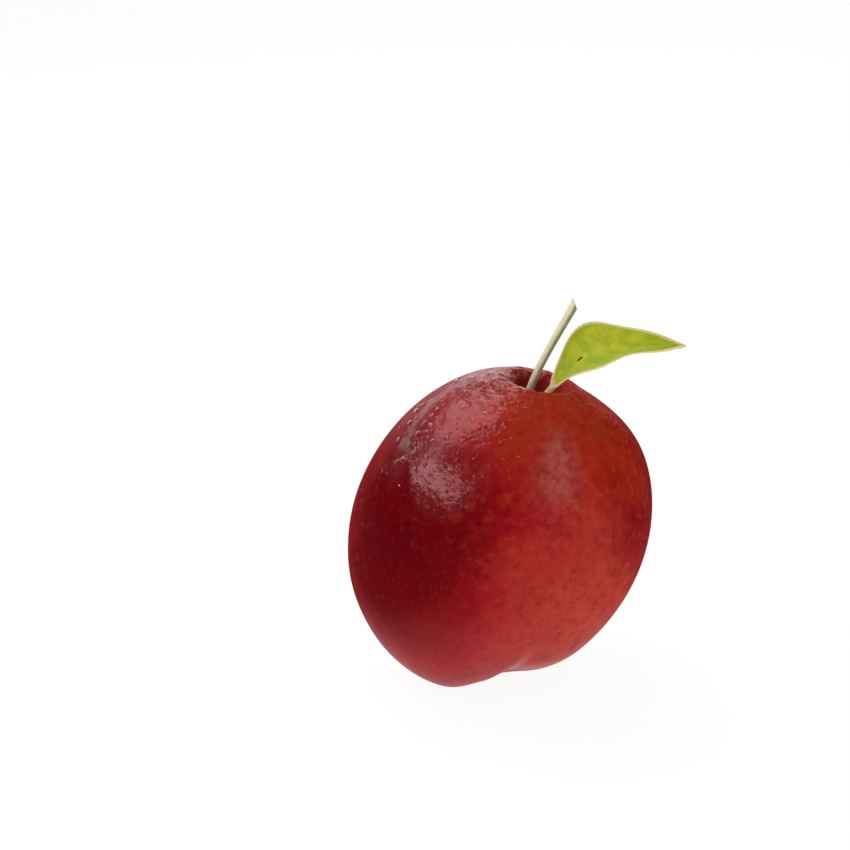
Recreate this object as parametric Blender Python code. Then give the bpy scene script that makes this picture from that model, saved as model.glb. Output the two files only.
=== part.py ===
"""A ripe dessert plum as picked, with its stalk and one leaf, resting on a small flat spot.

Lengths are in metres and +Z is up. The origin is the middle of the flat spot. The suture, the
shallow groove between the two cheeks, runs down the front, and the front faces -Y.
"""

import math

import bmesh
import bpy
from mathutils import Matrix, Vector
from mathutils.geometry import interpolate_bezier

# Fruit: driving sizes, in its own upright frame with the middle of the fruit at the origin
FRUIT_WIDTH = 0.0476
FRUIT_LENGTH = 0.0527
TILT = math.radians(8)  # the axis leans towards +X as the fruit rests
LOPSIDED = 0.104  # sideways shift of a cross-section for each unit of height
FULLNESS = 0.965  # under 1 makes the shoulders squarer than an ellipse
EGG = 0.021  # the stalk half is this much wider, and the tip half narrower
OVAL = 0.012  # the cross-section is this much wider than round across the suture's plane
SUTURE_TURN = math.radians(-70)  # where the suture is, round the axis from +X

# Hollow that the stalk stands in, and the slight dip at the tip
HOLLOW_DEPTH = 0.0036
HOLLOW_SPREAD = 0.135  # angle down from the stalk end over which the hollow fades
LIP_HEIGHT = 0.00035  # a low ridge round the hollow
LIP_DROP = 0.24
LIP_SPREAD = 0.06
TIP_DEPTH = 0.0003
TIP_SPREAD = 0.11

# Shoulders round the hollow: the left one stands this much higher, the right one lower
SHOULDER_RISE = 0.00085
SHOULDER_DROP = 0.45  # angle down from the stalk end
SHOULDER_SPREAD = 0.40

# Suture: a broad valley with a narrow crease along its bottom. A turn goes round the axis from
# the suture and a drop goes down from the stalk end. A range is where something sets in, as a
# turn, as a drop or as a distance from the axis in half widths
VALLEY_DEPTH = 0.00090
VALLEY_SPREAD = 0.34
VALLEY_TOP_SHARE = 0.28  # of its depth, that the valley keeps near the stalk
VALLEY_DEEPENS = (1.2, 2.2)
NOTCH_DEPTH = 0.0020  # near the tip the valley opens into a notch, onto the right cheek
NOTCH_WALL = (-0.08, 0.26)  # turns, on its steep left side
NOTCH_SLOPE = (1.05, 0.30)  # turns, on its gentle right side
NOTCH_OPENS = (2.2, 2.65)
CREASE_DEPTH = 0.00022
CREASE_TURN = 0.10
CREASE_SPREAD = 0.075
CREASE_BITES = (1.85, 2.35)
GROOVE_LEAVES_STALK = (0.05, 0.35)
GROOVE_LEAVES_TIP = (0.12, 0.42)

# Lower end: a shallow pit beside the tip on the right cheek, and a fuller lobe on the left one
PIT_DEPTH = 0.0009
PIT_TURN = 0.75
PIT_DROP = 2.80
PIT_SPREADS = (0.60, 0.20)  # in turn and in drop
LOBE_SWELL = 0.0007
LOBE_TURN = -0.75
LOBE_DROP = 2.72
LOBE_SPREAD = 0.62

# Flat spot: the fruit is pressed flat this far above its lowest point
REST_DEPTH = 0.0009

# Stalk, from its foot in the fruit to its cut end
STALK_FOOT = Vector((0.0042, 0.0, 0.0206))  # from the middle of the fruit
STALK_BENDS = (Vector((0.0006, 0.0, 0.0048)), Vector((0.0047, 0.0, 0.0114)))
STALK_END = Vector((0.0078, 0.0, 0.0173))  # from the foot
STALK_FOOT_RADIUS = 0.00072
STALK_WAIST_RADIUS = 0.00060
STALK_END_RADIUS = 0.00072
STALK_CUT_SLOPE = math.radians(42)
STALK_RINGS = 15
STALK_SIDES = 12

# Leaf: its petiole starts beside the stalk, and its midrib arches out to the right
LEAF_FOOT = Vector((0.0062, -0.0024, 0.0217))  # from the middle of the fruit
LEAF_BENDS = (Vector((0.0067, -0.0011, 0.0102)), Vector((0.0099, -0.0008, 0.0101)))
LEAF_TIP = Vector((0.0233, 0.0022, 0.0093))  # from the foot
PETIOLE_SHARE = 0.113  # of the whole curve
PETIOLE_RADIUS = 0.00058
TIP_SLIMNESS = 0.6  # the midrib loses this share of its thickness by the tip
BLADE_HALF_WIDTH = 0.0060
BLADE_HALF_THICKNESS = 0.00032
BLADE_PEAK = 0.866  # lower puts the widest place nearer to the base
BLADE_TAPER = 0.90
BASE_SLIMMING = 0.30  # the blade's base is narrower by this share
BASE_REACH = 0.20
BLADE_KEEL = math.radians(17)  # each half of the blade rises from the midrib by this
BLADE_WAVE = 0.00030
BLADE_WAVES = 2.5
EDGE_ROUNDNESS = 0.25  # lower makes the blade's edge squarer
RIB_DEPTH = 0.00040  # the midrib stands out below the blade
RIB_SPREAD = 0.10  # of the half width
SIDE_AT_FOOT = Vector((-0.28, 0.91, 0.19))  # towards the blade's far edge
SIDE_AT_TIP = Vector((-0.25, 0.60, 0.17))
LEAF_ROWS = 30
LEAF_COLUMNS = 14

# Fit: a stem stands in a plain hole with this much room round it
GAP = 0.0003
HOLE_DEPTH = 0.0022
HOLE_SIDES = 16

# Resolution of the fruit
FRUIT_SEGMENTS = 64
FRUIT_RINGS = 44
POLE_CROWDING = 0.55  # rings sit closer together near both ends
SUTURE_CROWDING = 0.55  # segments sit closer together near the suture
SMOOTH_UP_TO = math.radians(40)


def clear_scene():
    for thing in list(bpy.data.objects):
        bpy.data.objects.remove(thing)


def material(name, colour, roughness, metallic=0.0):
    made = bpy.data.materials.new(name)
    made.use_nodes = True
    shader = made.node_tree.nodes["Principled BSDF"]
    shader.inputs["Base Color"].default_value = (*colour, 1.0)
    shader.inputs["Roughness"].default_value = roughness
    shader.inputs["Metallic"].default_value = metallic
    return made


def add_object(name, bm, finish, parent):
    """Makes an object of a bmesh, shaded smooth, under a parent."""
    mesh = bpy.data.meshes.new(name)
    bm.to_mesh(mesh)
    bm.free()
    mesh.shade_smooth()
    mesh.set_sharp_from_angle(angle=SMOOTH_UP_TO)
    mesh.materials.append(finish)
    made = bpy.data.objects.new(name, mesh)
    bpy.context.scene.collection.objects.link(made)
    made.parent = parent
    return made


def bell(distance, spread):
    """A smooth bump, 1 in the middle, that fades over the spread."""
    return math.exp(-((distance / spread) ** 2))


def ramp(value, low, high):
    """Rises smoothly from 0 at low to 1 at high."""
    share = min(max((value - low) / (high - low), 0.0), 1.0)
    return share * share * (3 - 2 * share)


def groove_depth(turn, drop):
    """How far the suture lies below the round skin at a point."""
    deepening = VALLEY_TOP_SHARE + (1 - VALLEY_TOP_SHARE) * ramp(drop, *VALLEY_DEEPENS)
    valley = VALLEY_DEPTH * bell(turn, VALLEY_SPREAD) * deepening
    notch = ramp(turn, *NOTCH_WALL) * ramp(turn, *NOTCH_SLOPE) * ramp(drop, *NOTCH_OPENS)
    crease = bell(turn - CREASE_TURN, CREASE_SPREAD) * ramp(drop, *CREASE_BITES)
    end = GROOVE_LEAVES_STALK if drop < math.pi / 2 else GROOVE_LEAVES_TIP
    depth = valley + NOTCH_DEPTH * notch + CREASE_DEPTH * crease
    return depth * ramp(math.sin(drop), *end)


def lower_end_relief(turn, drop):
    """How far the lobe stands above the round skin at a point, less the pit."""
    lobe = bell(turn - LOBE_TURN, LOBE_SPREAD) * bell(drop - LOBE_DROP, LOBE_SPREAD)
    pit = bell(turn - PIT_TURN, PIT_SPREADS[0]) * bell(drop - PIT_DROP, PIT_SPREADS[1])
    return LOBE_SWELL * lobe - PIT_DEPTH * pit


def skin_point(turn, drop):
    """A point of the skin. Turn goes round from the suture, drop down from the stalk end."""
    around = SUTURE_TURN + turn
    radius = FRUIT_WIDTH / 2 * math.sin(drop) ** FULLNESS
    radius *= (1 + EGG * math.cos(drop)) * (1 - OVAL * math.cos(2 * turn))
    height = FRUIT_LENGTH / 2 * math.cos(drop)
    height -= HOLLOW_DEPTH * bell(drop, HOLLOW_SPREAD)
    height += TIP_DEPTH * bell(math.pi - drop, TIP_SPREAD)
    shoulder = bell(drop - SHOULDER_DROP, SHOULDER_SPREAD) * ramp(drop, 0.0, SHOULDER_DROP)
    height -= SHOULDER_RISE * math.cos(around) * shoulder

    relief = lower_end_relief(turn, drop) - groove_depth(turn, drop)
    relief += LIP_HEIGHT * bell(drop - LIP_DROP, LIP_SPREAD)
    radius += relief * math.sin(drop)
    height += relief * math.cos(drop)

    sideways = radius * math.cos(around) + LOPSIDED * height
    return Vector((sideways, radius * math.sin(around), height))


def crowd_to_poles(drop):
    return drop - POLE_CROWDING * math.sin(2 * drop) / 2


def crowd_to_suture(turn):
    return turn - SUTURE_CROWDING * math.sin(turn)


def make_fruit(finish, centre):
    """The whole fruit in one piece, with its flat spot cut level for the leaning axis."""
    bm = bmesh.new()
    bmesh.ops.create_uvsphere(bm, u_segments=FRUIT_SEGMENTS, v_segments=FRUIT_RINGS, radius=1.0)
    for vertex in bm.verts:
        drop = crowd_to_poles(math.acos(max(-1.0, min(1.0, vertex.co.z))))
        turn = crowd_to_suture(math.atan2(vertex.co.y, vertex.co.x))
        vertex.co = skin_point(turn, drop)

    lean = Matrix.Rotation(TILT, 3, "Y")
    up = lean.inverted() @ Vector((0, 0, 1))
    lowest = min(bm.verts, key=lambda vertex: vertex.co.dot(up))
    level = lowest.co + up * REST_DEPTH
    everything = bm.verts[:] + bm.edges[:] + bm.faces[:]
    cut = bmesh.ops.bisect_plane(
        bm, geom=everything, plane_co=level, plane_no=up, clear_inner=True
    )
    rim = [part for part in cut["geom_cut"] if isinstance(part, bmesh.types.BMEdge)]
    flat = bmesh.ops.contextual_create(bm, geom=rim)["faces"][0]
    bmesh.ops.recalc_face_normals(bm, faces=bm.faces)
    flat_middle = flat.calc_center_median_weighted()

    fruit = add_object("fruit", bm, finish, centre)
    fruit.rotation_euler.y = TILT
    centre.location = -(lean @ flat_middle)
    return fruit


def loft(bm, rings):
    """Joins closed rings of points into a tube and caps both ends."""
    loops = [[bm.verts.new(point) for point in ring] for ring in rings]
    for low, high in zip(loops, loops[1:]):
        for i in range(len(low)):
            j = (i + 1) % len(low)
            bm.faces.new((low[i], low[j], high[j], high[i]))
    bm.faces.new(reversed(loops[0]))
    bm.faces.new(loops[-1])
    bmesh.ops.recalc_face_normals(bm, faces=bm.faces)


def curve_frames(bends, end, count):
    """Points along a Bezier curve from the origin, each with its share and its direction."""
    path = interpolate_bezier(Vector(), *bends, end, count)
    for n, point in enumerate(path):
        before = path[max(n - 1, 0)]
        after = path[min(n + 1, count - 1)]
        yield n / (count - 1), point, (after - before).normalized()


def stalk_radius(share):
    """Thick at the foot, slender at the waist and a little swollen at the cut end."""
    foot = STALK_FOOT_RADIUS - STALK_WAIST_RADIUS
    end = STALK_END_RADIUS - STALK_WAIST_RADIUS
    return STALK_WAIST_RADIUS + foot * (1 - share) ** 4 + end * share**3


def make_stalk(finish, centre):
    """A slender bent stalk whose free end is cut on a slope, higher on its left."""
    front = Vector((0, -1, 0))
    rings = []
    for share, point, along in curve_frames(STALK_BENDS, STALK_END, STALK_RINGS):
        side = front.cross(along)
        radius = stalk_radius(share)
        slope = math.tan(STALK_CUT_SLOPE) if share == 1 else 0.0
        ring = []
        for k in range(STALK_SIDES):
            angle = math.tau * k / STALK_SIDES
            across = radius * math.cos(angle)
            forward = radius * math.sin(angle)
            ring.append(point + side * across + front * forward + along * (across * slope))
        rings.append(ring)
    bm = bmesh.new()
    loft(bm, rings)
    stalk = add_object("stalk", bm, finish, centre)
    stalk.location = STALK_FOOT
    return stalk


def blade_half_width(share):
    """How far the blade reaches from the midrib: nothing on the petiole, then ovate."""
    along = max(share - PETIOLE_SHARE, 0.0) / (1 - PETIOLE_SHARE)
    ovate = max(math.sin(math.pi * along**BLADE_PEAK), 0.0) ** BLADE_TAPER
    return ovate * BLADE_HALF_WIDTH * (1 - BASE_SLIMMING * bell(along, BASE_REACH))


def leaf_section(share, point, along, side):
    """The closed section of the leaf at one point of its midrib."""
    face = along.cross(side).normalized()
    blade = blade_half_width(share)
    stem = PETIOLE_RADIUS * (1 - TIP_SLIMNESS * share)
    half_width = math.hypot(blade, stem)
    flatness = ramp(blade, 0.0, 2 * stem)
    thick = (1 - flatness) * stem + flatness * BLADE_HALF_THICKNESS
    squareness = (1 - flatness) + flatness * EDGE_ROUNDNESS
    wave = BLADE_WAVE * flatness * math.sin(math.tau * BLADE_WAVES * share)
    section = []
    for underside in (False, True):
        for column in range(LEAF_COLUMNS):
            across = 1 - 2 * column / LEAF_COLUMNS
            if underside:
                across = -across
            height = thick * max(1 - across * across, 0.0) ** (squareness / 2)
            if underside:
                height = -height - flatness * RIB_DEPTH * bell(across, RIB_SPREAD)
            lift = abs(across) * blade * math.tan(BLADE_KEEL) + wave * across * abs(across)
            section.append(point + side * (half_width * across) + face * (height + lift))
    return section


def make_leaf(finish, centre):
    """A petiole and an arched blade, folded upwards along its midrib, in one thin solid."""
    rings = []
    for share, point, along in curve_frames(LEAF_BENDS, LEAF_TIP, LEAF_ROWS):
        side = SIDE_AT_FOOT.lerp(SIDE_AT_TIP, share)
        side = (side - along * side.dot(along)).normalized()
        rings.append(leaf_section(share, point, along, side))
    bm = bmesh.new()
    loft(bm, rings)
    leaf = add_object("leaf", bm, finish, centre)
    leaf.location = LEAF_FOOT
    return leaf


def bore_hole(fruit, name, foot, bends, radius, centre):
    """Cuts the plain hole that a stem's foot stands in, along the way that the stem leaves."""
    way = bends[0].normalized()
    bm = bmesh.new()
    bmesh.ops.create_cone(
        bm,
        cap_ends=True,
        segments=HOLE_SIDES,
        radius1=radius + GAP,
        radius2=radius + GAP,
        depth=2 * HOLE_DEPTH,
    )
    cutter = add_object(name, bm, fruit.data.materials[0], centre)
    cutter.rotation_euler = way.to_track_quat("Z", "Y").to_euler()
    cutter.location = foot + way * (HOLE_DEPTH - GAP)
    cutter.hide_render = True
    cutter.display_type = "WIRE"
    hole = fruit.modifiers.new(name, "BOOLEAN")
    hole.operation = "DIFFERENCE"
    hole.solver = "EXACT"
    hole.object = cutter


def main():
    clear_scene()
    centre = bpy.data.objects.new("plum_centre", None)
    bpy.context.scene.collection.objects.link(centre)
    skin = material("plum_skin", (0.29, 0.018, 0.016), 0.32)
    bark = material("stalk_green", (0.46, 0.44, 0.25), 0.60)
    green = material("leaf_green", (0.37, 0.44, 0.035), 0.45)
    fruit = make_fruit(skin, centre)
    make_stalk(bark, centre)
    make_leaf(green, centre)
    bore_hole(fruit, "stalk_hole", STALK_FOOT, STALK_BENDS, STALK_FOOT_RADIUS, centre)
    bore_hole(fruit, "petiole_hole", LEAF_FOOT, LEAF_BENDS, PETIOLE_RADIUS, centre)


main()
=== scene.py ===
"""The looks of a ripe dessert plum with its stalk and one leaf, built around its solid model.

The skin, the stalk and the leaf are made again with a fine surface and a natural finish, each in
the place of its solid, and water drops lie on the skin. Lengths are in metres and +Z is up.
"""

import math
import random

import bmesh
import bpy
import numpy as np
from mathutils import Matrix, Vector
from mathutils.bvhtree import BVHTree
from mathutils.geometry import interpolate_bezier


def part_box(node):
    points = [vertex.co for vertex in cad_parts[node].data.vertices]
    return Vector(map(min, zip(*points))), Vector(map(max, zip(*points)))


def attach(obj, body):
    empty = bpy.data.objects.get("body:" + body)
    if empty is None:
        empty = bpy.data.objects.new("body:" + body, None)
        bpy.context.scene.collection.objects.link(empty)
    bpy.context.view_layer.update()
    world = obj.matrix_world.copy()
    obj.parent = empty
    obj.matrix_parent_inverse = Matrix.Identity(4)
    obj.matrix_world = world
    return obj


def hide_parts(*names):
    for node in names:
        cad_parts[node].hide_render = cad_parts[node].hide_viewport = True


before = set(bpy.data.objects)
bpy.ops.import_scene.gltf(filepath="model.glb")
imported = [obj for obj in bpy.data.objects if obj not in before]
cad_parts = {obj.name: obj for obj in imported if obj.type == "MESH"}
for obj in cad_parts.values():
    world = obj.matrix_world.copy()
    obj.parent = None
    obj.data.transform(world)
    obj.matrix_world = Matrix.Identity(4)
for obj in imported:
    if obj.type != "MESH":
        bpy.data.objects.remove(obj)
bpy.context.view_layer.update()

SEED = 7

# Camera, as the photograph was taken: the plum's middle is at this pixel of the square picture
PICTURE_SIDE = 850
PLUM_AT = (498.7, 528.4)
CAMERA_RISE = math.radians(21)
CAMERA_DISTANCE = 0.42
SENSOR_WIDTH = 0.036
LENS = 0.1094
FOCAL_LENGTH = LENS / SENSOR_WIDTH * PICTURE_SIDE  # in pixels

# Skin of the fruit: the named inputs of its Geometry Nodes tree, in its own upright frame.
# Turn goes round the axis from the suture, and drop goes down from the stalk end
SKIN = {
    "Segments": 288,
    "Rings": 200,
    "Width": 0.0476,
    "Length": 0.0527,
    "Lean": math.radians(8),
    "Lopsided": 0.104,
    "Fullness": 0.965,
    "Egg": 0.021,
    "Oval": 0.012,
    "Suture turn": math.radians(-70),
    "Hollow depth": 0.0036,
    "Hollow spread": 0.135,
    "Tip depth": 0.0003,
    "Tip spread": 0.11,
    "Shoulder rise": 0.00085,
    "Shoulder drop": 0.45,
    "Shoulder spread": 0.40,
    "Valley depth": 0.00090,
    "Valley spread": 0.34,
    "Valley top share": 0.28,
    "Valley deepens from": 1.2,
    "Valley deepens to": 2.2,
    "Notch depth": 0.0020,
    "Notch left": -0.08,
    "Notch floor": 0.26,
    "Notch eases from": 0.30,
    "Notch eases to": 1.05,
    "Notch opens from": 2.2,
    "Notch opens to": 2.65,
    "Pit depth": 0.0009,
    "Pit turn": 0.75,
    "Pit drop": 2.80,
    "Pit spread": 0.20,
    "Crease depth": 0.00022,
    "Crease turn": 0.10,
    "Crease spread": 0.075,
    "Crease bites from": 1.85,
    "Crease bites to": 2.35,
    "Groove leaves stalk from": 0.05,
    "Groove leaves stalk to": 0.35,
    "Groove leaves tip from": 0.12,
    "Groove leaves tip to": 0.42,
    "Lobe swell": 0.0007,
    "Lobe turn": -0.75,
    "Lobe drop": 2.72,
    "Lobe spread": 0.62,
    "Pole crowding": 0.60,
    "Suture crowding": 0.35,
    "Swell height": 0.00022,
    "Swell size": 1.7,
    "Fold height": 0.00042,
    "Fold drop": 0.20,
    "Fold spread": 0.13,
    "Folds": 3.2,
    "Lip height": 0.00035,
    "Lip drop": 0.24,
    "Lip spread": 0.06,
}
FLAT_EDGE = 0.0002  # how softly the flat spot meets the skin

# Stalk and leaf, as their solids are: feet from the middle of the fruit, the rest from the foot
STALK_FOOT = Vector((0.0042, 0.0, 0.0206))
STALK_BENDS = (Vector((0.0006, 0.0, 0.0048)), Vector((0.0047, 0.0, 0.0114)))
STALK_END = Vector((0.0078, 0.0, 0.0173))
STALK_FOOT_RADIUS = 0.00072
STALK_WAIST_RADIUS = 0.00060
STALK_END_RADIUS = 0.00078
STALK_CUT_SLOPE = math.radians(42)
STALK_RINGS = 110
STALK_SIDES = 60
STALK_RIDGE = 0.000045
STALK_RIDGES = ((7, 1.0, 1.3, 0.0), (11, 0.6, -2.1, 1.0))  # count, share, twist and start angle
CUT_SHARPNESS = 40  # how late along the stalk its section tilts to the cut
CUT_RINGS = ((0.90, 0.00006), (0.62, 0.00003), (0.34, -0.00008), (0.12, -0.00012))  # inset, bulge

LEAF_FOOT = Vector((0.0062, -0.0024, 0.0217))
LEAF_BENDS = (Vector((0.0067, -0.0011, 0.0102)), Vector((0.0099, -0.0008, 0.0101)))
LEAF_TIP = Vector((0.0233, 0.0022, 0.0093))
PETIOLE_SHARE = 0.113
PETIOLE_RADIUS = 0.00058
TIP_SLIMNESS = 0.6
BLADE_HALF_WIDTH = 0.0060
BLADE_HALF_THICKNESS = 0.00015
BLADE_PEAK = 0.866
BLADE_TAPER = 0.90
BLADE_KEEL = math.radians(17)
KEEL_ROUNDING = 0.55
BASE_SLIMMING = 0.30
BASE_REACH = 0.20
BLADE_WAVE = 0.00030
BLADE_WAVES = 2.5
EDGE_ROUNDNESS = 0.25
RIB_DEPTH = 0.00034
RIB_SPREAD = 0.07
RIB_ON_TOP = 0.35  # how deep the midrib's groove on the upper side is for its rise on the lower one
SIDE_AT_FOOT = Vector((-0.28, 0.91, 0.19))
SIDE_AT_TIP = Vector((-0.25, 0.60, 0.17))
VEIN_PAIRS = 9
VEIN_SLANT = 0.16
VEIN_CURVE = 1.25
VEIN_STAGGER = 0.45
VEIN_WIDTH = 0.13
VEINS_START = 0.2
VEINS_FADE = (0.75, 0.97)
VEIN_DEPTH = 0.00003
LEAF_ROWS = 170
LEAF_COLUMNS = 56

# Water. Dew lies round one direction from the middle of the fruit. Each larger drop has the pixel
# of the photograph that it shows at, its half length, its half width and the turn of its length
DEW = {
    "Spacing": 0.00115,
    "Crowd": 2000000.0,
    "Smallest": 0.00024,
    "Largest": 0.00052,
    "Bead height": 0.42,
    "Bead segments": 12,
    "Bead rings": 7,
    "Seed": SEED,
    "Stretch seed": 2,
}
DEW_AIM = Vector((-0.32, -0.46, 0.83))
DEW_REACH = (math.radians(12), math.radians(38))
DEW_BETWEEN = 0.06  # how much dew lies between its patches
LARGE_DROPS = (
    ((397, 462), 0.00075, 0.00060, math.radians(20)),
    ((405, 459), 0.00120, 0.00080, math.radians(10)),
    ((414, 453), 0.00110, 0.00070, math.radians(55)),
    ((449, 472), 0.00100, 0.00080, math.radians(35)),
    ((458, 472), 0.00070, 0.00060, math.radians(35)),
    ((452, 480), 0.00090, 0.00060, math.radians(10)),
    ((441, 468), 0.00070, 0.00060, 0.0),
    ((447, 438), 0.00070, 0.00055, 0.0),
    ((448, 448), 0.00080, 0.00050, math.radians(20)),
    ((517, 412), 0.00060, 0.00040, math.radians(-50)),
    ((415, 483), 0.00055, 0.00045, 0.0),
    ((418, 433), 0.00070, 0.00055, math.radians(60)),
    ((426, 422), 0.00060, 0.00040, math.radians(40)),
    ((467, 407), 0.00050, 0.00038, 0.0),
    ((486, 413), 0.00085, 0.00040, math.radians(-10)),
    ((500, 401), 0.00060, 0.00038, math.radians(-50)),
    ((513, 403), 0.00060, 0.00036, math.radians(-55)),
    ((463, 441), 0.00075, 0.00045, math.radians(20)),
    ((484, 445), 0.00080, 0.00045, math.radians(15)),
    ((400, 486), 0.00040, 0.00036, 0.0),
    ((519, 388), 0.00110, 0.00035, math.radians(-25)),
    ((536, 397), 0.00060, 0.00030, math.radians(-35)),
    ((557, 402), 0.00050, 0.00028, math.radians(-35)),
)
DROP_RINGS = 9
DROP_SIDES = 32
DROP_STEEPNESS = 0.50  # height of a larger drop for its half width
DROP_ROUNDNESS = 0.85
DROP_LOBES = (2, 3, 4, 5)
DROP_UNEVENNESS = 0.22
DROP_SINKS = 0.00005


class Value:
    """A socket of a node tree. Arithmetic on it adds the Math nodes that work it out."""

    def __init__(self, nodes, socket):
        self.nodes = nodes
        self.socket = socket

    def __add__(self, other):
        return self.nodes.math("ADD", self, other)

    def __radd__(self, other):
        return self.nodes.math("ADD", other, self)

    def __sub__(self, other):
        return self.nodes.math("SUBTRACT", self, other)

    def __rsub__(self, other):
        return self.nodes.math("SUBTRACT", other, self)

    def __mul__(self, other):
        return self.nodes.math("MULTIPLY", self, other)

    def __rmul__(self, other):
        return self.nodes.math("MULTIPLY", other, self)

    def __truediv__(self, other):
        return self.nodes.math("DIVIDE", self, other)

    def __rtruediv__(self, other):
        return self.nodes.math("DIVIDE", other, self)

    def __pow__(self, other):
        return self.nodes.math("POWER", self, other)

    def sin(self):
        return self.nodes.math("SINE", self)

    def cos(self):
        return self.nodes.math("COSINE", self)

    def bell(self, spread):
        """A smooth bump, 1 where the value is 0, that fades over the spread."""
        share = self / spread
        return self.nodes.math("EXPONENT", share * share * -1)

    def ramp(self, low, high):
        """Rises smoothly from 0 at low to 1 at high."""
        settings = {"interpolation_type": "SMOOTHSTEP"}
        sockets = {"Value": self, "From Min": low, "From Max": high}
        return self.nodes.add("ShaderNodeMapRange", settings, sockets)

    def xyz(self):
        """The three numbers of a vector."""
        return self.nodes.add("ShaderNodeSeparateXYZ", {}, {0: self}, None)


class Nodes:
    """Adds nodes to one node tree, of a material or of Geometry Nodes."""

    def __init__(self, tree):
        self.tree = tree

    def add(self, kind, settings, sockets, output=0):
        """Adds a node by its type, its settings and the values or links of its sockets."""
        node = self.tree.nodes.new(kind)
        for name, setting in settings.items():
            setattr(node, name, setting)
        for name, value in sockets.items():
            if isinstance(value, Value):
                self.tree.links.new(value.socket, node.inputs[name])
            else:
                node.inputs[name].default_value = value
        if output is None:
            return [Value(self, socket) for socket in node.outputs]
        return Value(self, node.outputs[output])

    def math(self, operation, *values):
        return self.add("ShaderNodeMath", {"operation": operation}, dict(enumerate(values)))

    def highest(self, first, *others):
        """The highest of some values."""
        for other in others:
            first = self.math("MAXIMUM", first, other)
        return first

    def vector(self, operation, *values, output=0):
        """A Vector Math node."""
        settings = {"operation": operation}
        return self.add("ShaderNodeVectorMath", settings, dict(enumerate(values)), output)

    def scaled(self, vector, size):
        sockets = {0: vector, "Scale": size}
        return self.add("ShaderNodeVectorMath", {"operation": "SCALE"}, sockets)

    def joined(self, x, y, z):
        """A vector of three numbers."""
        return self.add("ShaderNodeCombineXYZ", {}, {0: x, 1: y, 2: z})

    def noise(self, place, size, detail=2.0, roughness=0.5, output=0):
        """Soft noise, round 0.5, with this many waves for each unit of length."""
        sockets = {"Vector": place, "Scale": size, "Detail": detail, "Roughness": roughness}
        return self.add("ShaderNodeTexNoise", {}, sockets, output)

    def mix(self, share, first, second):
        """Mixes two colours."""
        settings = {"data_type": "RGBA", "clamp_factor": True}
        sockets = {0: share, 6: colour(first), 7: colour(second)}
        return self.add("ShaderNodeMix", settings, sockets, 2)


def colour(value):
    """A colour as sockets take it, with its fourth number."""
    return value if isinstance(value, Value) else (*value, 1.0)


def surface_tree(name, sizes, on_surface=False):
    """An empty Geometry Nodes tree with named inputs, and the values of its inputs."""
    tree = bpy.data.node_groups.new(name, "GeometryNodeTree")
    tree.interface.new_socket("Geometry", in_out="OUTPUT", socket_type="NodeSocketGeometry")
    if on_surface:
        tree.interface.new_socket("Surface", in_out="INPUT", socket_type="NodeSocketGeometry")
    for label, size in sizes.items():
        kind = "NodeSocketInt" if isinstance(size, int) else "NodeSocketFloat"
        tree.interface.new_socket(label, in_out="INPUT", socket_type=kind)
    nodes = Nodes(tree)
    given = nodes.add("NodeGroupInput", {}, {}, None)
    return nodes, {value.socket.name: value for value in given}


def end_tree(nodes, geometry, finish):
    """Ends a tree: real geometry, its finish, and the tree's output."""
    real = nodes.add("GeometryNodeRealizeInstances", {}, {"Geometry": geometry})
    painted = nodes.add("GeometryNodeSetMaterial", {}, {"Geometry": real, "Material": finish})
    nodes.add("NodeGroupOutput", {}, {0: painted}, None)


def grow(name, tree, sizes, surface=None):
    """Runs a Geometry Nodes tree once and keeps what it makes as a plain mesh."""
    start = surface.data.copy() if surface else bpy.data.meshes.new(name)
    piece = bpy.data.objects.new(name, start)
    bpy.context.scene.collection.objects.link(piece)
    modifier = piece.modifiers.new(name, "NODES")
    modifier.node_group = tree
    for socket in tree.interface.items_tree:
        if socket.name in sizes:
            modifier[socket.identifier] = sizes[socket.name]
    depsgraph = bpy.context.evaluated_depsgraph_get()
    made = bpy.data.meshes.new_from_object(piece.evaluated_get(depsgraph))
    piece.modifiers.remove(modifier)
    piece.data = made
    bpy.data.meshes.remove(start)
    return piece


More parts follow.
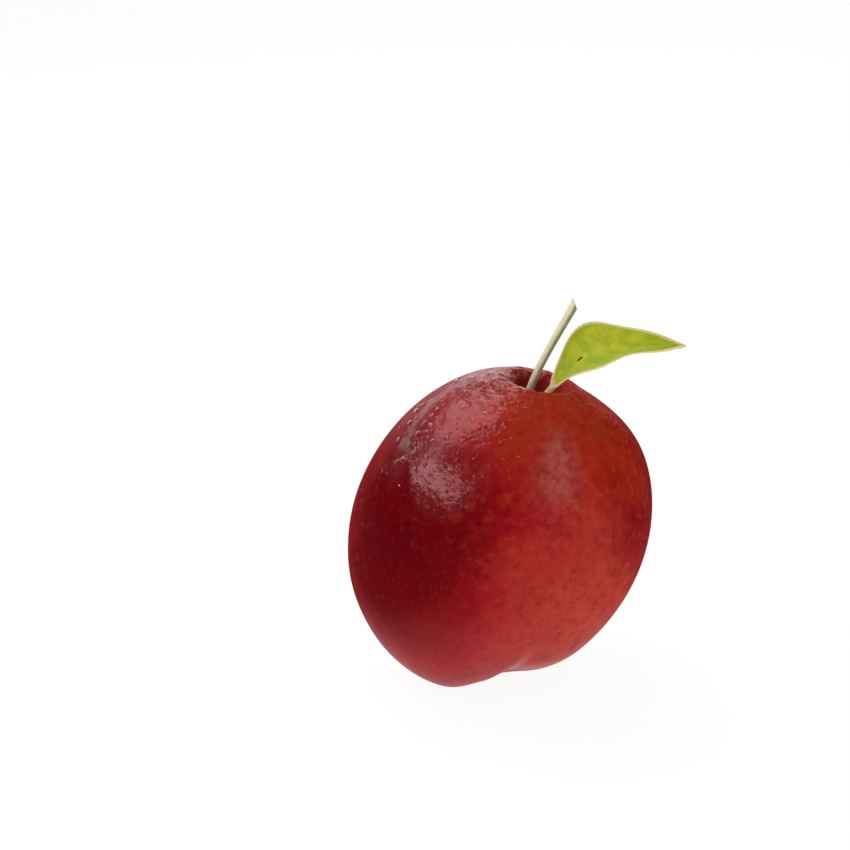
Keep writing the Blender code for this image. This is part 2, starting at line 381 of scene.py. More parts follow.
def skin_tree(finish):
    """The plum's skin: a ball whose points are moved by the formula of the fruit."""
    nodes, size = surface_tree("plum_skin_surface", SKIN)
    ball = nodes.add(
        "GeometryNodeMeshUVSphere", {}, {"Segments": size["Segments"], "Rings": size["Rings"]}
    )
    place = nodes.add("GeometryNodeInputPosition", {}, {})
    x, y, z = place.xyz()
    even_drop = nodes.math("ARCCOSINE", z)
    even_turn = nodes.math("ARCTAN2", y, x)
    drop = even_drop - size["Pole crowding"] * (even_drop * 2).sin() / 2
    turn = even_turn - size["Suture crowding"] * even_turn.sin()
    around = turn + size["Suture turn"]
    out = drop.sin()
    up = drop.cos()
    tip_drop = math.pi - drop

    radius = size["Width"] / 2 * out ** size["Fullness"]
    radius = radius * (1 + size["Egg"] * up) * (1 - size["Oval"] * (turn * 2).cos())
    height = size["Length"] / 2 * up - size["Hollow depth"] * drop.bell(size["Hollow spread"])
    height = height + size["Tip depth"] * tip_drop.bell(size["Tip spread"])
    shoulder = (drop - size["Shoulder drop"]).bell(size["Shoulder spread"])
    shoulder = shoulder * drop.ramp(0.0, size["Shoulder drop"])
    height = height - size["Shoulder rise"] * around.cos() * shoulder

    deepening = drop.ramp(size["Valley deepens from"], size["Valley deepens to"])
    top_share = size["Valley top share"]
    valley = turn.bell(size["Valley spread"]) * (top_share + (1 - top_share) * deepening)
    notch = turn.ramp(size["Notch left"], size["Notch floor"])
    notch = notch * turn.ramp(size["Notch eases to"], size["Notch eases from"])
    notch = notch * drop.ramp(size["Notch opens from"], size["Notch opens to"])
    pit = (turn - size["Pit turn"]).bell(size["Pit spread"] * 3)
    pit = pit * (drop - size["Pit drop"]).bell(size["Pit spread"])
    crease = (turn - size["Crease turn"]).bell(size["Crease spread"])
    crease = crease * drop.ramp(size["Crease bites from"], size["Crease bites to"])
    at_stalk = out.ramp(size["Groove leaves stalk from"], size["Groove leaves stalk to"])
    at_tip = out.ramp(size["Groove leaves tip from"], size["Groove leaves tip to"])
    in_top_half = up.ramp(-0.1, 0.1)
    fading = at_stalk * in_top_half + at_tip * (1 - in_top_half)
    groove = valley * size["Valley depth"] + notch * size["Notch depth"]
    groove = (groove + crease * size["Crease depth"]) * fading + pit * size["Pit depth"]

    swell = (nodes.noise(place, size["Swell size"], 1.0) - 0.5) * size["Swell height"] * 2
    turned = nodes.joined(turn.cos() * size["Folds"], turn.sin() * size["Folds"], drop)
    fold = (nodes.noise(turned, 1.0, 1.0) - 0.5) * size["Fold height"] * 2
    fold = fold * (drop - size["Fold drop"]).bell(size["Fold spread"]) * drop.ramp(0.02, 0.14)
    lobe = (turn - size["Lobe turn"]).bell(size["Lobe spread"])
    lobe = lobe * (drop - size["Lobe drop"]).bell(size["Lobe spread"]) * size["Lobe swell"]
    lip = (drop - size["Lip drop"]).bell(size["Lip spread"]) * size["Lip height"]
    relief = swell + fold + lip + lobe - groove
    radius = radius + relief * out
    height = height + relief * up
    sideways = radius * around.cos() + size["Lopsided"] * height

    kept = nodes.add(
        "GeometryNodeStoreNamedAttribute",
        {"data_type": "FLOAT_VECTOR", "domain": "POINT"},
        {"Geometry": ball, "Name": "skin_place", "Value": nodes.joined(turn.cos(), turn.sin(), drop)},
    )
    moved = nodes.add(
        "GeometryNodeSetPosition",
        {},
        {"Geometry": kept, "Position": nodes.joined(sideways, radius * around.sin(), height)},
    )
    leaning = nodes.add(
        "GeometryNodeTransform", {}, {"Geometry": moved, "Rotation": nodes.joined(0, size["Lean"], 0)}
    )
    smooth = nodes.add("GeometryNodeSetShadeSmooth", {}, {"Geometry": leaning})
    end_tree(nodes, smooth, finish)
    return nodes.tree


def points_of(mesh):
    """The vertices of a mesh, as rows of three numbers."""
    points = np.empty(len(mesh.vertices) * 3, np.float32)
    mesh.vertices.foreach_get("co", points)
    return points.reshape(-1, 3).astype(float)


def place_fruit(fruit):
    """Moves the fruit's points to where its solid is, and presses its underside flat."""
    low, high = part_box("fruit")
    points = points_of(fruit.data)
    middle = (np.array(low) + np.array(high) - points.min(0) - points.max(0)) / 2
    middle[2] = high.z - points[:, 2].max()
    points += middle
    height = points[:, 2]
    points[:, 2] = (height + np.sqrt(height * height + FLAT_EDGE * FLAT_EDGE)) / 2
    fruit.data.vertices.foreach_set("co", points.astype(np.float32).ravel())
    fruit.data.update()
    return Vector(middle)


def curve_frames(bends, end, count):
    """Points along a Bezier curve from the origin, each with its share and its direction."""
    path = interpolate_bezier(Vector(), *bends, end, count)
    for n, point in enumerate(path):
        before = path[max(n - 1, 0)]
        after = path[min(n + 1, count - 1)]
        yield n / (count - 1), point, (after - before).normalized()


def bell(distance, spread):
    return math.exp(-((distance / spread) ** 2))


def ramp(value, low, high):
    share = min(max((value - low) / (high - low), 0.0), 1.0)
    return share * share * (3 - 2 * share)


def add_piece(name, bm, finish):
    """Makes a smooth-shaded object of a bmesh whose points are already in place."""
    mesh = bpy.data.meshes.new(name)
    bm.to_mesh(mesh)
    bm.free()
    mesh.shade_smooth()
    mesh.materials.append(finish)
    piece = bpy.data.objects.new(name, mesh)
    bpy.context.scene.collection.objects.link(piece)
    return piece


def join_rings(bm, low, high):
    """Joins two closed loops of points by a band of faces."""
    for i in range(len(low)):
        j = (i + 1) % len(low)
        bm.faces.new((low[i], low[j], high[j], high[i]))


def loft(bm, rings, places, layer):
    """Joins closed rings of points into a tube and keeps the place of each point in a layer."""
    loops = []
    for ring, marks in zip(rings, places):
        loop = [bm.verts.new(point) for point in ring]
        for vertex, mark in zip(loop, marks):
            vertex[layer] = mark
        loops.append(loop)
    for low, high in zip(loops, loops[1:]):
        join_rings(bm, low, high)
    return loops


def stalk_radius(share):
    """Thick at the foot, slender at the waist and a little swollen at the cut end."""
    foot = STALK_FOOT_RADIUS - STALK_WAIST_RADIUS
    end = STALK_END_RADIUS - STALK_WAIST_RADIUS
    return STALK_WAIST_RADIUS + foot * (1 - share) ** 4 + end * share**3


def stalk_ridges(angle, share):
    """How far the bark stands out at an angle round the stalk, from -1 to 1."""
    waves = 0.0
    for count, size, twist, start in STALK_RIDGES:
        waves += size * math.sin(count * angle + twist * share + start)
    return waves / sum(size for _, size, _, _ in STALK_RIDGES)


def make_stalk(middle, finish):
    """The bent stalk with fine ridges, and its free end cut on a slope."""
    front = Vector((0, -1, 0))
    foot = middle + STALK_FOOT
    rings = []
    places = []
    for share, point, along in curve_frames(STALK_BENDS, STALK_END, STALK_RINGS):
        side = front.cross(along)
        slope = math.tan(STALK_CUT_SLOPE) * share**CUT_SHARPNESS
        ring = []
        marks = []
        for k in range(STALK_SIDES):
            angle = math.tau * k / STALK_SIDES
            radius = stalk_radius(share) + STALK_RIDGE * (stalk_ridges(angle, share) - 1)
            across = radius * math.cos(angle)
            forward = radius * math.sin(angle)
            ring.append(foot + point + side * across + front * forward + along * (across * slope))
            marks.append(Vector((share, math.cos(angle), math.sin(angle))))
        rings.append(ring)
        places.append(marks)
    rim = rings[-1]
    centre = foot + point
    for inset, bulge in CUT_RINGS:
        rings.append([centre + (spot - centre) * inset + along * bulge for spot in rim])
        # On the cut the share runs on, from 1 at its edge to 2 in its middle
        places.append([Vector((2 - inset, 0, 0))] * STALK_SIDES)
    bm = bmesh.new()
    layer = bm.verts.layers.float_vector.new("stalk_place")
    loops = loft(bm, rings, places, layer)
    bm.faces.new(reversed(loops[0]))
    bm.faces.new(loops[-1])
    bmesh.ops.recalc_face_normals(bm, faces=bm.faces)
    return add_piece("stalk_fine", bm, finish)


def blade_half_width(share):
    """How far the blade reaches from the midrib: nothing on the petiole, then ovate."""
    along = max(share - PETIOLE_SHARE, 0.0) / (1 - PETIOLE_SHARE)
    ovate = max(math.sin(math.pi * along**BLADE_PEAK), 0.0) ** BLADE_TAPER
    return ovate * BLADE_HALF_WIDTH * (1 - BASE_SLIMMING * bell(along, BASE_REACH))


def vein(share, across):
    """How close a place on the blade is to a side vein: 1 on it, 0 between two."""
    start = share - VEIN_SLANT * abs(across) ** VEIN_CURVE
    stretch = (start - PETIOLE_SHARE) / (1 - PETIOLE_SHARE) * VEIN_PAIRS
    if across < 0:
        stretch += VEIN_STAGGER
    away = abs(stretch - round(stretch))
    fading = ramp(start, PETIOLE_SHARE, VEINS_START) * (1 - ramp(abs(across), *VEINS_FADE))
    return bell(away, VEIN_WIDTH) * fading


def leaf_section(share, point, along, side):
    """The closed section of the leaf at one point of its midrib, and the place of each point."""
    face = along.cross(side).normalized()
    blade = blade_half_width(share)
    stem = PETIOLE_RADIUS * (1 - TIP_SLIMNESS * share)
    half_width = math.hypot(blade, stem)
    flatness = ramp(blade, 0.0, 2 * stem)
    thick = (1 - flatness) * stem + flatness * BLADE_HALF_THICKNESS
    roundness = (1 - flatness) + flatness * EDGE_ROUNDNESS
    wave = BLADE_WAVE * flatness * math.sin(math.tau * BLADE_WAVES * share)
    section = []
    marks = []
    for underside in (False, True):
        for column in range(LEAF_COLUMNS):
            across = math.cos(math.pi * column / LEAF_COLUMNS)
            if underside:
                across = -across
            height = thick * max(1 - across * across, 0.0) ** (roundness / 2)
            veins = flatness * VEIN_DEPTH * vein(share, across)
            rib = flatness * bell(across, RIB_SPREAD)
            if underside:
                height = -height - rib * RIB_DEPTH - veins
            else:
                height = height - rib * RIB_DEPTH * RIB_ON_TOP - veins
            rise = math.hypot(across, KEEL_ROUNDING) - KEEL_ROUNDING
            rise = rise / (math.hypot(1, KEEL_ROUNDING) - KEEL_ROUNDING)
            lift = rise * blade * math.tan(BLADE_KEEL) + wave * across * abs(across)
            section.append(point + side * (half_width * across) + face * (height + lift))
            marks.append(Vector((share, across, -1.0 if underside else 1.0)))
    return section, marks


def mark_edge(leaf):
    """Keeps how far each point of the leaf is from the blade's edge, along the section."""
    leaf.data.attributes.new("leaf_edge", "FLOAT", "POINT")
    place = leaf.data.attributes["leaf_place"]
    edge = leaf.data.attributes["leaf_edge"]
    for mark, away in zip(place.data, edge.data):
        share, across, _ = mark.vector
        away.value = (1 - abs(across)) * max(blade_half_width(share), PETIOLE_RADIUS)


def make_leaf(middle, finish):
    """The petiole and the thin arched blade, folded along its midrib, with its veins."""
    foot = middle + LEAF_FOOT
    rings = []
    places = []
    for share, point, along in curve_frames(LEAF_BENDS, LEAF_TIP, LEAF_ROWS):
        side = SIDE_AT_FOOT.lerp(SIDE_AT_TIP, share)
        side = (side - along * side.dot(along)).normalized()
        section, marks = leaf_section(share, foot + point, along, side)
        rings.append(section)
        places.append(marks)
    bm = bmesh.new()
    layer = bm.verts.layers.float_vector.new("leaf_place")
    loops = loft(bm, rings, places, layer)
    bm.faces.new(reversed(loops[0]))
    bm.faces.new(loops[-1])
    bmesh.ops.recalc_face_normals(bm, faces=bm.faces)
    leaf = add_piece("leaf_fine", bm, finish)
    mark_edge(leaf)
    return leaf


def dew_tree(middle, finish):
    """Fine dew on the skin: small flat beads, thickest on the shoulder that faces the light."""
    nodes, size = surface_tree("dew_beads", DEW, on_surface=True)
    place = nodes.add("GeometryNodeInputPosition", {}, {})
    direction = nodes.vector("NORMALIZE", nodes.vector("SUBTRACT", place, middle))
    facing = nodes.vector("DOT_PRODUCT", direction, DEW_AIM.normalized(), output="Value")
    near = facing.ramp(math.cos(DEW_REACH[1]), math.cos(DEW_REACH[0]))
    patches = nodes.noise(place, 230.0, 2.0).ramp(0.48, 0.60)
    spots = nodes.add(
        "GeometryNodeDistributePointsOnFaces",
        {"distribute_method": "POISSON"},
        {
            "Mesh": size["Surface"],
            "Distance Min": size["Spacing"],
            "Density Max": size["Crowd"],
            "Density Factor": near * (DEW_BETWEEN + (1 - DEW_BETWEEN) * patches),
            "Seed": size["Seed"],
        },
        None,
    )
    bead = nodes.add(
        "GeometryNodeMeshUVSphere",
        {},
        {"Segments": size["Bead segments"], "Rings": size["Bead rings"], "Radius": 1.0},
    )
    draw = nodes.add(
        "FunctionNodeRandomValue", {"data_type": "FLOAT"}, {2: 0.0, 3: 1.0, "Seed": size["Seed"]}, 1
    )
    width = size["Smallest"] + (size["Largest"] - size["Smallest"]) * draw**1.5
    stretch = nodes.add(
        "FunctionNodeRandomValue",
        {"data_type": "FLOAT"},
        {2: 0.8, 3: 1.5, "Seed": size["Stretch seed"]},
        1,
    )
    set_down = nodes.add(
        "GeometryNodeInstanceOnPoints",
        {},
        {
            "Points": spots[0],
            "Instance": bead,
            "Rotation": spots[2],
            "Scale": nodes.joined(width * stretch, width, width * size["Bead height"]),
        },
    )
    smooth = nodes.add("GeometryNodeSetShadeSmooth", {}, {"Geometry": set_down})
    end_tree(nodes, smooth, finish)
    return nodes.tree


def drop_outline(angle, half_length, half_width, wobble):
    """How far a larger drop reaches in one direction: an oval with a few gentle lobes."""
    oval = 1 / math.hypot(math.cos(angle) / half_length, math.sin(angle) / half_width)
    lobes = sum(size * math.cos(n * angle + start) for n, size, start in wobble)
    return oval * (1 + lobes)


def add_drop(bm, skin, spot, upright, drop, draw):
    """One larger drop on the skin: a low dome of uneven outline, its underside sunk in the skin."""
    _, half_length, half_width, turn = drop
    start, normal, _, _ = skin.find_nearest(spot)
    level = normal.cross(upright).normalized()
    rising = normal.cross(level)
    wobble = []
    for n in DROP_LOBES:
        size = DROP_UNEVENNESS / n * draw.uniform(0.4, 1.0)
        wobble.append((n, size, draw.uniform(0, math.tau)))
    tops = []
    unders = []
    for ring in range(1, DROP_RINGS + 1):
        share = math.sin(math.pi / 2 * ring / DROP_RINGS)
        top = []
        under = []
        for k in range(DROP_SIDES):
            angle = math.tau * k / DROP_SIDES
            reach = share * drop_outline(angle, half_length, half_width, wobble)
            way = level * math.cos(angle + turn) + rising * math.sin(angle + turn)
            point, out, _, _ = skin.find_nearest(start + way * reach)
            height = half_width * DROP_STEEPNESS * (1 - share**2) ** DROP_ROUNDNESS
            top.append(bm.verts.new(point + out * (height - DROP_SINKS)))
            if ring < DROP_RINGS:
                under.append(bm.verts.new(point - out * 3 * DROP_SINKS))
        tops.append(top)
        unders.append(under)
    unders[-1] = tops[-1]
    for low, high in zip(tops, tops[1:]):
        join_rings(bm, low, high)
    for low, high in zip(unders, unders[1:]):
        join_rings(bm, high, low)
    top_height = half_width * DROP_STEEPNESS - DROP_SINKS
    for loop, height, way in ((tops[0], top_height, 1), (unders[0], -3 * DROP_SINKS, -1)):
        peak = bm.verts.new(start + normal * height)
        for i in range(DROP_SIDES):
            j = (i + 1) % DROP_SIDES
            bm.faces.new((peak, loop[i], loop[j])[::way])


def make_large_drops(fruit, camera, finish):
    """The larger drops, where the photograph shows their glints."""
    skin = BVHTree.FromObject(fruit, bpy.context.evaluated_depsgraph_get())
    draw = random.Random(SEED)
    turned = camera.matrix_basis.to_3x3()
    bm = bmesh.new()
    for drop in LARGE_DROPS:
        across = (drop[0][0] - PICTURE_SIDE / 2) / FOCAL_LENGTH
        down = (drop[0][1] - PICTURE_SIDE / 2) / FOCAL_LENGTH
        spot = skin.ray_cast(camera.location, turned @ Vector((across, -down, -1)))[0]
        add_drop(bm, skin, spot, turned @ Vector((0, 1, 0)), drop, draw)
    bmesh.ops.recalc_face_normals(bm, faces=bm.faces)
    return add_piece("large_drops", bm, finish)


def new_material(name):
    """A material with only its shader, and the maker of its nodes."""
    made = bpy.data.materials.new(name)
    made.use_nodes = True
    shader = made.node_tree.nodes["Principled BSDF"]
    return made, Nodes(made.node_tree), shader


def set_shader(shader, **values):
    """Sets or links sockets of a shader, named with _ for a space."""
    for name, value in values.items():
        socket = shader.inputs[name.replace("_", " ")]
        if isinstance(value, Value):
            shader.id_data.links.new(value.socket, socket)
        else:
            socket.default_value = value


CRIMSON = (0.36, 0.007, 0.012)
MAROON = (0.134, 0.001, 0.004)
# Brick red, made lighter as painted light where it lies low on the right
BRICK_RED_AND_LIT = (0.47, 0.046, 0.030)
ORANGE = (0.40, 0.026, 0.006)
OLIVE = (0.34, 0.054, 0.006)
RUST = (0.46, 0.075, 0.020)
DEEP_CRIMSON = (0.24, 0.002, 0.007)
FLECK = (0.60, 0.12, 0.06)
# Pale pinkish grey: the bloom in the suture's valley and round the hollow, and also the colour of
# painted highlights on the crease and on the wrinkles beside the hollow
BLOOM_AND_HIGHLIGHT = (0.46, 0.22, 0.21)
# Dark maroon brown, painted shade: in the hollow round the stalk and between the wrinkles beside it
PAINTED_SHADE = (0.12, 0.008, 0.010)

# Parts of the skin, each round a direction from the middle of the fruit, with the angles in
# degrees at which it starts to fade and at which it has faded out
DARK_CHEEK = ((-0.70, -0.66, 0.27), 18, 60)
HIGH_LEFT = ((-0.50, 0.30, 0.81), 20, 54)
BACK_RIGHT = ((0.55, 0.75, 0.10), 30, 70)
# Low on the front right: the skin's own brick red, partly painted light too, lighter for light from
# low on the right
BRICK_RED_AND_LIT_CHEEK = ((0.61, -0.72, -0.32), 14, 58)
RIGHT_SIDE = ((0.97, -0.14, 0.18), 16, 44)
ORANGE_SHOULDER = ((0.45, -0.38, 0.80), 10, 40)
OLIVE_SHOULDER = ((0.41, -0.38, 0.83), 4, 20)
RUSTY_CHEEK = ((0.62, -0.74, 0.10), 20, 70)
FIBROUS_CHEEK = ((0.72, -0.55, 0.42), 14, 52)
TINTED_FRONT = ((0.10, -0.70, 0.70), 12, 46)
# Where the wrinkles beside the hollow get painted highlights and painted shade
WRINKLED_SHOULDER = ((-0.12, 0.08, 0.99), 6, 24)
WET_PARTS = (
    ((-0.22, -0.43, 0.87), 8, 32),
    ((-0.36, -0.62, 0.70), 8, 20),
    ((-0.36, -0.72, 0.59), 6, 17),
)
DAMP_PART = ((-0.32, -0.50, 0.80), 26, 46)
GLOSSY_RIM = ((-0.28, 0.55, 0.78), 20, 58)
GLOSSY_CREST = ((-0.12, 0.04, 0.99), 10, 26)
GLOSSY_UNDERSIDE = ((0.0, -0.45, -0.89), 20, 66)

# Broad colours, laid over the crimson in this order: where, how strong and which
BROAD_COLOURS = (
    (DARK_CHEEK, 1.0, MAROON),
    (HIGH_LEFT, 0.50, MAROON),
    (BACK_RIGHT, 0.80, MAROON),
    (BRICK_RED_AND_LIT_CHEEK, 1.0, BRICK_RED_AND_LIT),
    (RIGHT_SIDE, 0.95, DEEP_CRIMSON),
    (ORANGE_SHOULDER, 0.75, ORANGE),
)
FRUIT_REACH = 0.0255  # from the middle of the fruit to its skin, about
SKIN_BUMP = 0.00028


class SkinPlace:
    """Where a point of the skin is, for its material, and the patterns that its parts share."""

    def __init__(self, nodes, middle):
        self.nodes = nodes
        self.place = nodes.add("ShaderNodeTexCoord", {}, {}, "Object")
        self.ahead = nodes.scaled(nodes.vector("SUBTRACT", self.place, middle), 1 / FRUIT_REACH)
        self.warped = self.bent(self.ahead, nodes.noise(self.ahead, 2.2, 3.0, 0.6, output=1), 0.34)
        self.outward = nodes.vector("NORMALIZE", self.warped)
        self.lines = nodes.add("ShaderNodeAttribute", {"attribute_name": "skin_place"}, {}, "Vector")
        self.turn_x, self.turn_y, self.drop = self.lines.xyz()
        self.turn = nodes.math("ARCTAN2", self.turn_y, self.turn_x)
        self.blotches = nodes.noise(self.place, 700.0, 3.0, 0.62)
        round_hollow = nodes.joined(self.turn_x * 4.0, self.turn_y * 4.0, self.drop * 24.0)
        self.wrinkles = nodes.noise(round_hollow, 1.0, 2.0)
        self.pit = self.drop.ramp(0.21, 0.10)

    def bent(self, vector, noise, size):
        """A vector that soft noise moves about."""
        way = self.nodes.vector("SUBTRACT", noise, (0.5, 0.5, 0.5))
        return self.nodes.vector("ADD", vector, self.nodes.scaled(way, size))

    def inside(self, part, way=None):
        """1 inside a part of the skin and 0 outside it, with a soft wandering edge."""
        aim, inner, outer = part
        sockets = (way or self.warped, Vector(aim).normalized())
        facing = self.nodes.vector("DOT_PRODUCT", *sockets, output="Value")
        return facing.ramp(math.cos(math.radians(outer)), math.cos(math.radians(inner)))


def skin_colour(nodes, spot):
    """Crimson skin, maroon on one cheek and brick red on the other, flecked and with some bloom.
    The brick-red cheek is partly painted light. There are painted highlights on the crease and on the
    wrinkles beside the hollow, and painted shade in the hollow and between those wrinkles.

    Gives its colour and its roughness.
    """
    drop = spot.drop
    skin = CRIMSON
    for part, strength, tone in BROAD_COLOURS:
        skin = nodes.mix(spot.inside(part) * strength, skin, tone)
    mottle = nodes.noise(spot.ahead, 5.0, 4.0, 0.62)
    olive = spot.inside(OLIVE_SHOULDER) * mottle.ramp(0.45, 0.65) * 0.6
    skin = nodes.mix(olive, skin, OLIVE)
    skin = nodes.mix(mottle.ramp(0.50, 0.72) * 0.30, skin, MAROON)
    skin = nodes.mix(spot.blotches.ramp(0.50, 0.70) * 0.34, skin, MAROON)
    rusty = 0.06 + 0.26 * spot.inside(RUSTY_CHEEK)
    skin = nodes.mix(spot.blotches.ramp(0.48, 0.30) * rusty, skin, RUST)
    streaks = nodes.noise(nodes.joined(spot.turn_x, spot.turn_y, drop * 0.16), 14.0, 3.0, 0.6)
    fibres = streaks.ramp(0.46, 0.66) * spot.inside(FIBROUS_CHEEK)
    skin = nodes.mix(fibres * 0.18, skin, MAROON)
    tint = nodes.noise(spot.ahead, 12.0, 3.0, 0.6).ramp(0.48, 0.64)
    skin = nodes.mix(tint * spot.inside(TINTED_FRONT) * 0.40, skin, ORANGE)

    cells = nodes.add("ShaderNodeTexVoronoi", {}, {"Vector": spot.lines, "Scale": 38.0}, None)
    fleck = cells[0].ramp(0.40, 0.10) * cells[1].xyz()[0].ramp(0.10, 0.9)
    skin = nodes.mix(fleck * 0.07, skin, FLECK)
    valley = (spot.turn + 0.05).bell(0.17) * drop.ramp(0.42, 0.75) * drop.ramp(1.22, 0.90)
    bloom = valley * (0.4 + 0.6 * spot.blotches.ramp(0.62, 0.38)) * 0.36
    skin = nodes.mix(bloom, skin, BLOOM_AND_HIGHLIGHT)
    crest = drop.ramp(0.60, 0.25) * drop.ramp(0.10, 0.24) * 0.08
    skin = nodes.mix(crest * streaks.ramp(0.40, 0.66), skin, BLOOM_AND_HIGHLIGHT)
    # On the shoulder beside the hollow the wrinkles are painted: pale streaks are painted highlights
    # on them, and dark streaks are painted shade between them
    shoulder = spot.inside(WRINKLED_SHOULDER) * drop.ramp(0.12, 0.20)
    skin = nodes.mix(spot.wrinkles.ramp(0.51, 0.66) * shoulder * 0.45, skin, BLOOM_AND_HIGHLIGHT)
    skin = nodes.mix(spot.wrinkles.ramp(0.50, 0.36) * shoulder * 0.55, skin, PAINTED_SHADE)
    # A pale line along the crease near the tip: a painted highlight on the side of the groove
    crease = (spot.turn - 0.10).bell(0.045) * drop.ramp(2.05, 2.35) * 0.6
    skin = nodes.mix(crease, skin, BLOOM_AND_HIGHLIGHT)
    # The hollow round the stalk is painted dark: painted shade
    skin = nodes.mix(spot.pit * 0.8, skin, PAINTED_SHADE)
    return skin, 0.34 + 0.14 * mottle + 0.15 * bloom


def skin_wetness(nodes, spot):
    """1 on the wet skin of the shoulder that faces the light, with a ragged edge."""
    wet = nodes.highest(*(spot.inside(part, spot.outward) for part in WET_PARTS))
    ragged = nodes.noise(spot.place, 420.0, 4.0, 0.7) - 0.5
    return (wet + ragged * 1.5).ramp(0.12, 0.40)


def skin_gloss(nodes, spot, wet):
    """How glossy the skin is: most where it is wet, on its rim and low down, least in its hollow."""
    rim = spot.inside(GLOSSY_RIM) * 0.38
    crest = spot.inside(GLOSSY_CREST) * 1.2
    underside = spot.inside(GLOSSY_UNDERSIDE) * 1.35
    gloss = nodes.highest(wet, rim, crest, underside)
    return (0.03 + 0.23 * gloss) * (1 - 0.8 * spot.pit)


def skin_relief(nodes, spot, wet):
    """The fine relief: grain, ripples that the water deepens, wrinkles round the hollow and beads."""
    grain = nodes.noise(spot.place, 1900.0, 2.0)
    ripples = nodes.noise(spot.place, 560.0, 2.0, 0.55)
    wrinkles = spot.wrinkles * spot.drop.ramp(0.75, 0.35) * spot.drop.ramp(0.06, 0.16)
    uneven = spot.bent(spot.place, nodes.noise(spot.place, 900.0, 2.0, output=1), 0.0006)
    beads = nodes.add("ShaderNodeTexVoronoi", {}, {"Vector": uneven, "Scale": 760.0}, None)
    bead_size = 0.16 + 0.28 * beads[1].xyz()[0]
    bead = beads[0] / bead_size
    bead = nodes.math("MAXIMUM", 1 - bead * bead, 0.0) ** 0.6 * bead_size
    damp = spot.inside(DAMP_PART) * nodes.noise(spot.place, 260.0, 2.0).ramp(0.38, 0.56)
    height = ripples * (0.12 + 0.42 * wet) + grain * 0.10 + wrinkles * 2.0 + bead * damp * 1.3
    sockets = {"Strength": 1.0, "Distance": SKIN_BUMP, "Height": height}
    return nodes.add("ShaderNodeBump", {}, sockets)


def plum_skin(middle):
    """The skin as two shaders, mixed by how glossy it is: the skin itself, and a sheen over it."""
    made, nodes, shader = new_material("plum_skin")
    spot = SkinPlace(nodes, middle)
    skin, roughness = skin_colour(nodes, spot)
    wet = skin_wetness(nodes, spot)
    bump = skin_relief(nodes, spot, wet)
    set_shader(shader, Base_Color=skin, Roughness=roughness, Specular_IOR_Level=0.0, Normal=bump)
    sheen = made.node_tree.nodes.new("ShaderNodeBsdfPrincipled")
    set_shader(sheen, Base_Color=skin, Roughness=0.20, Normal=bump)
    gloss = skin_gloss(nodes, spot, wet)
    both = {0: gloss, 1: Value(nodes, shader.outputs[0]), 2: Value(nodes, sheen.outputs[0])}
    surface = nodes.add("ShaderNodeMixShader", {}, both)
    made.node_tree.links.new(surface.socket, made.node_tree.nodes["Material Output"].inputs["Surface"])
    return made


# The cream is also painted light on one side of the stalk, and the grey-green is also painted shade on
# the other side
STALK_CREAM_AND_LIT = (0.92, 0.80, 0.56)
STALK_GREEN_AND_SHADE = (0.27, 0.29, 0.17)
STALK_BROWN = (0.26, 0.17, 0.07)
PITH = (0.80, 0.76, 0.56)


def stalk_bark():
    """Cream and grey-green bark with fine ridges, and pale pith on the cut. The cream side is partly
    painted light, and the grey-green side is partly painted shade.
    """
    made, nodes, shader = new_material("stalk_green")
    mark = nodes.add("ShaderNodeAttribute", {"attribute_name": "stalk_place"}, {}, "Vector")
    place = nodes.add("ShaderNodeTexCoord", {}, {}, "Object")
    share, left, forward = mark.xyz()
    fibres = nodes.noise(nodes.joined(left, forward, share * 2.5), 5.0, 4.0, 0.6)
    # Cream on one side and grey-green on the other: partly the bark's own tones, partly painted light
    # on the cream side and painted shade on the green side
    bark = nodes.mix((left * 1.2 + fibres - 0.5).ramp(-0.35, 0.35), STALK_GREEN_AND_SHADE, STALK_CREAM_AND_LIT)
    bark = nodes.mix(fibres.ramp(0.56, 0.75) * 0.5, bark, STALK_GREEN_AND_SHADE)
    specks = nodes.noise(place, 3300.0, 2.0).ramp(0.62, 0.75)
    bark = nodes.mix(specks * 0.5, bark, STALK_BROWN)
    bark = nodes.mix(share.ramp(0.45, 0.10) * 0.7 * fibres.ramp(0.35, 0.65), bark, STALK_BROWN)
    cut = share.ramp(1.001, 1.02)
    bark = nodes.mix(cut, bark, PITH)
    bark = nodes.mix(share.ramp(1.62, 1.9), bark, STALK_GREEN_AND_SHADE)
    grain = nodes.noise(nodes.joined(left, forward, share * 9.0), 6.0, 3.0)
    bump = nodes.add("ShaderNodeBump", {}, {"Strength": 0.5, "Distance": 0.0001, "Height": grain})
    set_shader(
        shader,
        Base_Color=bark,
        Roughness=0.55 + 0.2 * grain,
        Specular_IOR_Level=0.08,
        Normal=bump,
    )
    return made


LEAF_YELLOW = (0.53, 0.55, 0.022)
LEAF_GREEN = (0.33, 0.46, 0.012)
LEAF_DEEP = (0.27, 0.41, 0.012)
LEAF_SPOT = (0.56, 0.66, 0.10)
LEAF_GOLD = (0.66, 0.40, 0.03)
LEAF_PALE = (0.52, 0.60, 0.12)
LEAF_MARGIN = (0.86, 0.64, 0.30)
LEAF_UNDER = (0.42, 0.50, 0.20)
PETIOLE = (0.78, 0.58, 0.32)
BLEMISH = (0.03, 0.035, 0.01)
BLEMISH_AT = (0.375, 0.10)
SPOT_AT = (0.425, 0.14)
GOLD_AT = (0.60, 0.30)


